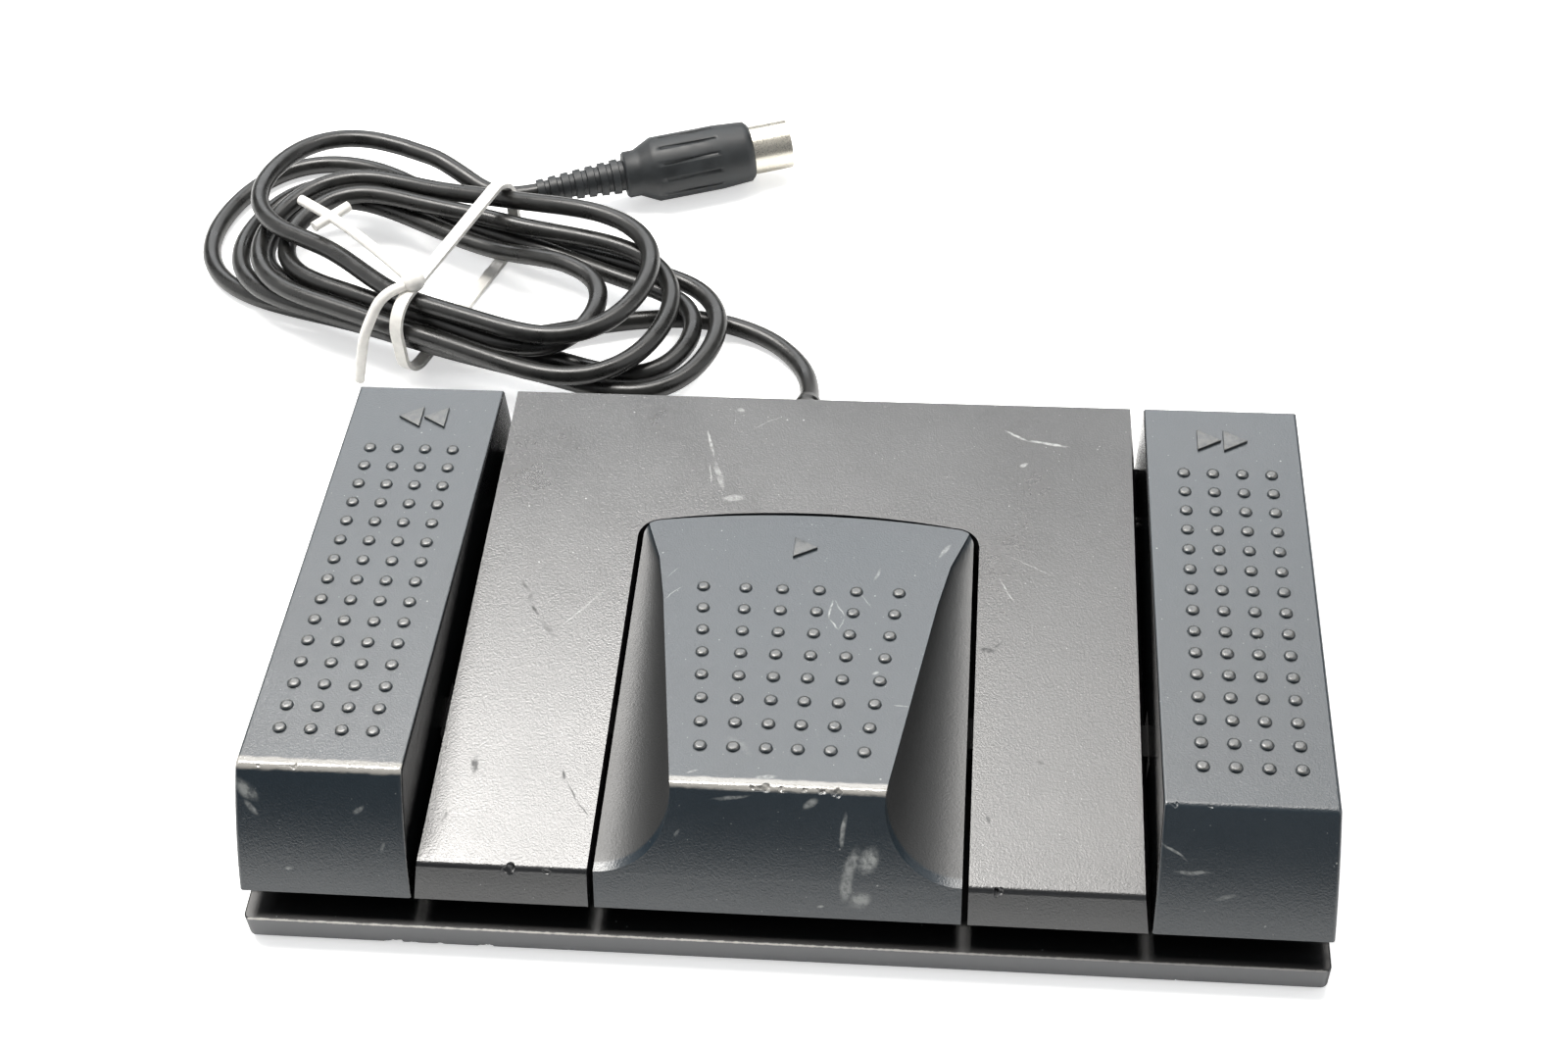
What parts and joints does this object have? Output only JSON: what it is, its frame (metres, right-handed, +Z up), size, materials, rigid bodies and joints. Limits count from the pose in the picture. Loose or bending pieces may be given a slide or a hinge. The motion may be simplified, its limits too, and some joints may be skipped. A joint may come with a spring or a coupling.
{
  "type": "transcription foot pedal",
  "caption": "Floor pedal unit with rewind, play and forward treadles hinged at the heel, a fixed deck between them and a tied hank of cord ending in a round multi-pin plug.",
  "frame": {"origin": "on the floor under the middle of the base, feet at z = 0", "axes": "+X across the pedals to the right, +Y from the toe end to the heel, +Z up"},
  "size_m": [0.2843, 0.2593, 0.0375],
  "materials": {
    "pedal_abs": "matte textured",
    "deck_abs": "satin",
    "base_abs": "gloss",
    "steel_plate": "semi-matte",
    "foot_rubber": "matte",
    "zinc_screw": "satin",
    "spring_steel": "satin",
    "switch_black": "matte",
    "plunger_red": "matte",
    "brass_lug": "satin",
    "board_green": "semi-gloss",
    "wire_pvc": "satin",
    "cord_pvc": "satin",
    "tie_white": "satin",
    "plug_pvc": "matte",
    "plug_nickel": "polished",
    "insulator_grey": "matte"
  },
  "bodies": {
    "base": {"base_tray": "base_abs", "bottom_plate": "steel_plate", "rubber_feet": "foot_rubber", "plate_screws": "zinc_screw", "deck_screws": "zinc_screw", "deck_cover": "deck_abs", "back_hinge_pin": "spring_steel", "play_hinge_pin": "spring_steel", "ffwd_hinge_pin": "spring_steel", "hinge_clips": "spring_steel", "back_spring": "spring_steel", "play_spring": "spring_steel", "ffwd_spring": "spring_steel", "back_switch": "switch_black", "play_switch": "switch_black", "ffwd_switch": "switch_black", "switch_lugs": "brass_lug", "switch_screws": "zinc_screw", "stop_pads": "foot_rubber", "terminal_board": "board_green", "board_screws": "zinc_screw", "clamp_screws": "zinc_screw", "cord_clamp": "base_abs", "back_wires": "wire_pvc", "play_wires": "wire_pvc", "ffwd_wires": "wire_pvc", "cord_conductors": "wire_pvc", "cord_inner": "cord_pvc", "strain_relief": "cord_pvc", "cord_lead": "cord_pvc", "cord_hank": "cord_pvc", "cord_tail": "cord_pvc", "cord_tie": "tie_white", "plug_boot": "plug_pvc", "plug_body": "plug_pvc", "plug_shell": "plug_nickel", "plug_insulator": "insulator_grey", "plug_pins": "brass_lug"},
    "back_pedal": {"back_pedal": "pedal_abs"},
    "play_pedal": {"play_pedal": "pedal_abs"},
    "ffwd_pedal": {"ffwd_pedal": "pedal_abs"},
    "back_plunger": {"back_plunger": "plunger_red"},
    "play_plunger": {"play_plunger": "plunger_red"},
    "ffwd_plunger": {"ffwd_plunger": "plunger_red"}
  },
  "joints": [
    {"name": "back_hinge", "type": "hinge", "parent": "base", "child": "back_pedal", "pos_m": [-0.09215, 0.058, 0.015], "axis": [1, 0, 0], "range_deg": [0, 2.2], "stiffness_Nm_per_rad": 3, "springref_deg": -9.17, "deforming": ["back_spring"]},
    {"name": "ffwd_hinge", "type": "hinge", "parent": "base", "child": "ffwd_pedal", "pos_m": [0.09215, 0.058, 0.015], "axis": [1, 0, 0], "range_deg": [0, 2.2], "stiffness_Nm_per_rad": 3, "springref_deg": -9.17, "deforming": ["ffwd_spring"]},
    {"name": "play_hinge", "type": "hinge", "parent": "base", "child": "play_pedal", "pos_m": [0, 0.042, 0.014], "axis": [1, 0, 0], "range_deg": [0, 2.6], "stiffness_Nm_per_rad": 3, "springref_deg": -9.17, "deforming": ["play_spring"]},
    {"name": "back_press", "type": "slide", "parent": "base", "child": "back_plunger", "axis": [0, 0, 1], "range_m": [-0.0014, 0]},
    {"name": "play_press", "type": "slide", "parent": "base", "child": "play_plunger", "axis": [0, 0, 1], "range_m": [-0.0014, 0]},
    {"name": "ffwd_press", "type": "slide", "parent": "base", "child": "ffwd_plunger", "axis": [0, 0, 1], "range_m": [-0.0014, 0]}
  ],
  "couplings": [
    {"joint": "back_press", "follows": "back_hinge", "m_per_rad": -0.03},
    {"joint": "play_press", "follows": "play_hinge", "m_per_rad": -0.03},
    {"joint": "ffwd_press", "follows": "ffwd_hinge", "m_per_rad": -0.03}
  ]
}
